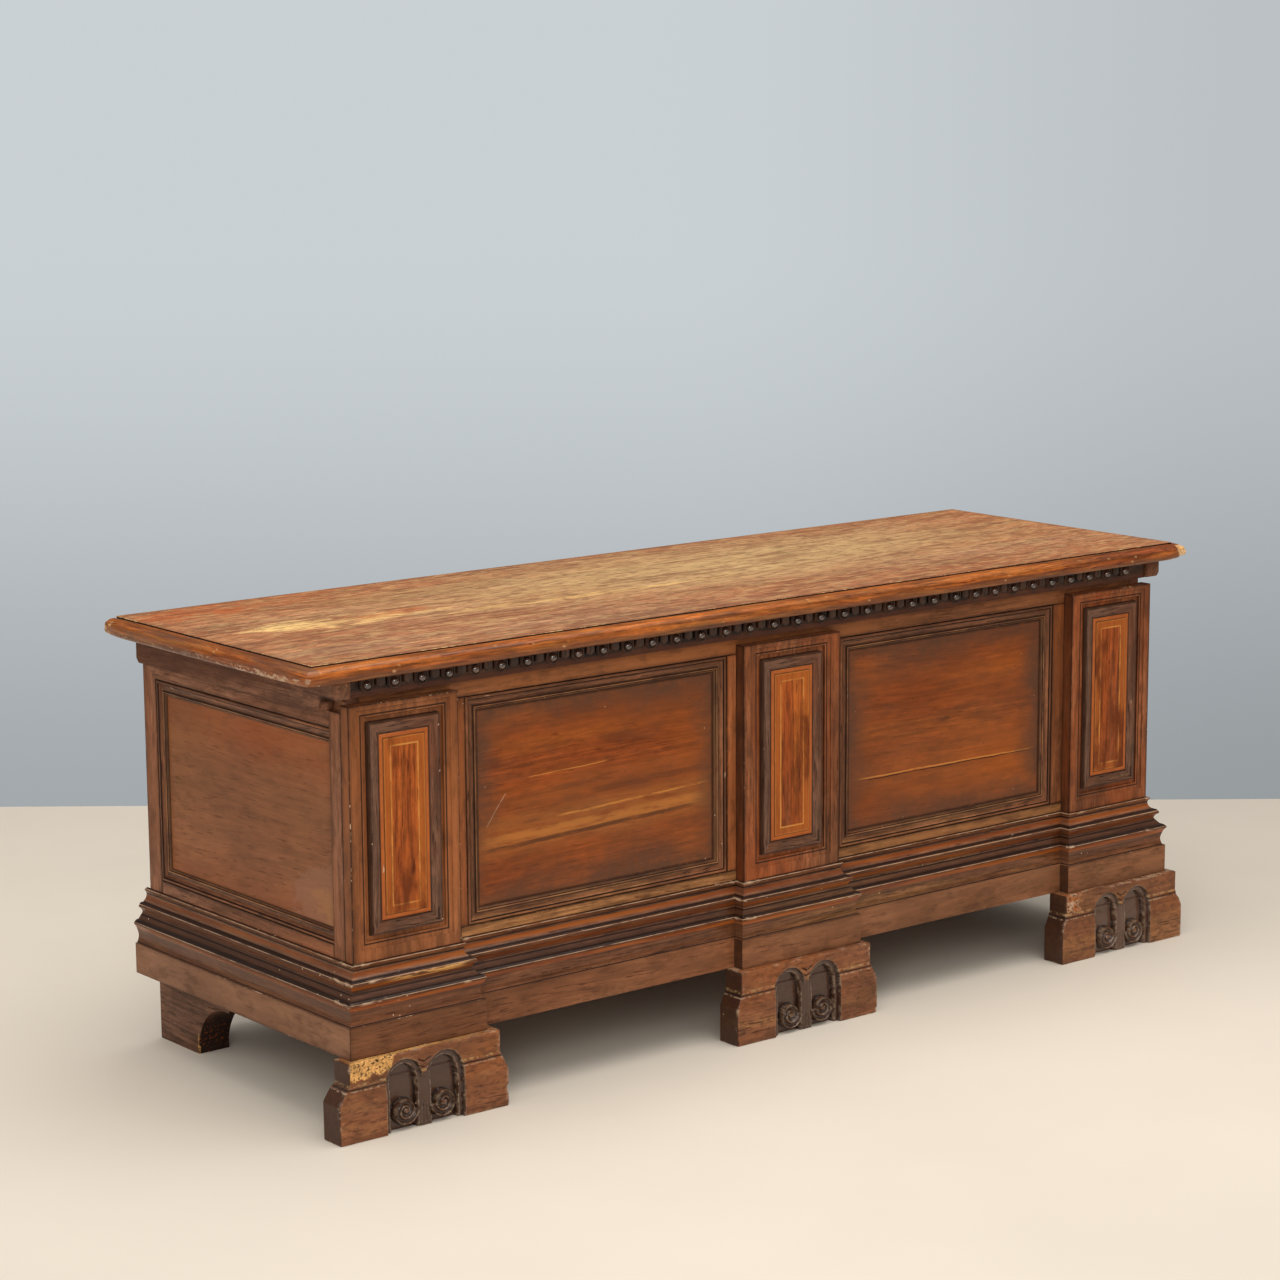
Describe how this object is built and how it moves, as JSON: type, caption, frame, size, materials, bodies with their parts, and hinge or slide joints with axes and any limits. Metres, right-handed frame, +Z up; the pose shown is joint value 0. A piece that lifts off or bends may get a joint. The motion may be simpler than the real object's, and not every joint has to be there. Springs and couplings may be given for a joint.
{
  "type": "cassone",
  "caption": "Long panelled walnut chest on carved feet, with a hinged lid over a pearl-and-tooth strip, sunk pilasters and a plinth that breaks forward under them.",
  "frame": {"origin": "on the floor, midway along the lid and midway between the front feet's faces and the rear feet's backs", "axes": "+X along the chest to its right end seen from the front, +Y from the front to the back, +Z up"},
  "size_m": [1.72, 0.594, 0.6565],
  "materials": {
    "lid_walnut": "waxed, bleached and worn",
    "edge_walnut": "waxed, glossy",
    "frame_walnut": "waxed, dark patina",
    "panel_walnut": "waxed, reddish patina",
    "pilaster_walnut": "waxed, dark patina",
    "tablet_walnut": "waxed, reddish patina",
    "plinth_walnut": "waxed, very dark with worn edges",
    "foot_walnut": "dry and worn",
    "inner_wood": "dry and unfinished",
    "iron": "forged, dull brown-black"
  },
  "bodies": {
    "chest": {"front_top_rail": "frame_walnut", "front_bottom_rail": "frame_walnut", "front_stile_left": "frame_walnut", "front_stile_right": "frame_walnut", "front_muntin": "frame_walnut", "front_panel_left": "panel_walnut", "front_panel_right": "panel_walnut", "side_panel_left": "panel_walnut", "side_panel_right": "panel_walnut", "front_panel_moulding_left": "frame_walnut", "front_panel_moulding_right": "frame_walnut", "side_panel_moulding_left": "frame_walnut", "side_panel_moulding_right": "frame_walnut", "side_front_stile_left": "frame_walnut", "side_rear_stile_left": "frame_walnut", "side_top_rail_left": "frame_walnut", "side_bottom_rail_left": "frame_walnut", "side_front_stile_right": "frame_walnut", "side_rear_stile_right": "frame_walnut", "side_top_rail_right": "frame_walnut", "side_bottom_rail_right": "frame_walnut", "back_board_upper": "inner_wood", "back_board_lower": "inner_wood", "floor_boards": "inner_wood", "pilaster_left": "pilaster_walnut", "tablet_moulding_left": "pilaster_walnut", "tablet_left": "tablet_walnut", "front_foot_left": "foot_walnut", "pilaster_middle": "pilaster_walnut", "tablet_moulding_middle": "pilaster_walnut", "tablet_middle": "tablet_walnut", "front_foot_middle": "foot_walnut", "pilaster_right": "pilaster_walnut", "tablet_moulding_right": "pilaster_walnut", "tablet_right": "tablet_walnut", "front_foot_right": "foot_walnut", "plinth_courses_left": "plinth_walnut", "plinth_courses_front": "plinth_walnut", "plinth_courses_right": "plinth_walnut", "plinth_board_left": "plinth_walnut", "plinth_board_right": "plinth_walnut", "plinth_board_front": "plinth_walnut", "plinth_board_rear": "plinth_walnut", "rear_foot_left": "foot_walnut", "rear_foot_right": "foot_walnut", "hinge_back_leaves": "iron", "hinge_pins": "iron"},
    "lid": {"lid_board": "lid_walnut", "lid_moulding_front": "edge_walnut", "lid_moulding_left": "edge_walnut", "lid_moulding_right": "edge_walnut", "lid_cleat_left": "frame_walnut", "lid_cleat_right": "frame_walnut", "pearl_strip": "frame_walnut", "hinge_lid_leaves": "iron"}
  },
  "joints": [
    {"name": "lid_hinge", "type": "hinge", "parent": "chest", "child": "lid", "pos_m": [0, 0.287, 0.629], "axis": [-1, 0, 0], "range_deg": [0, 100]}
  ]
}
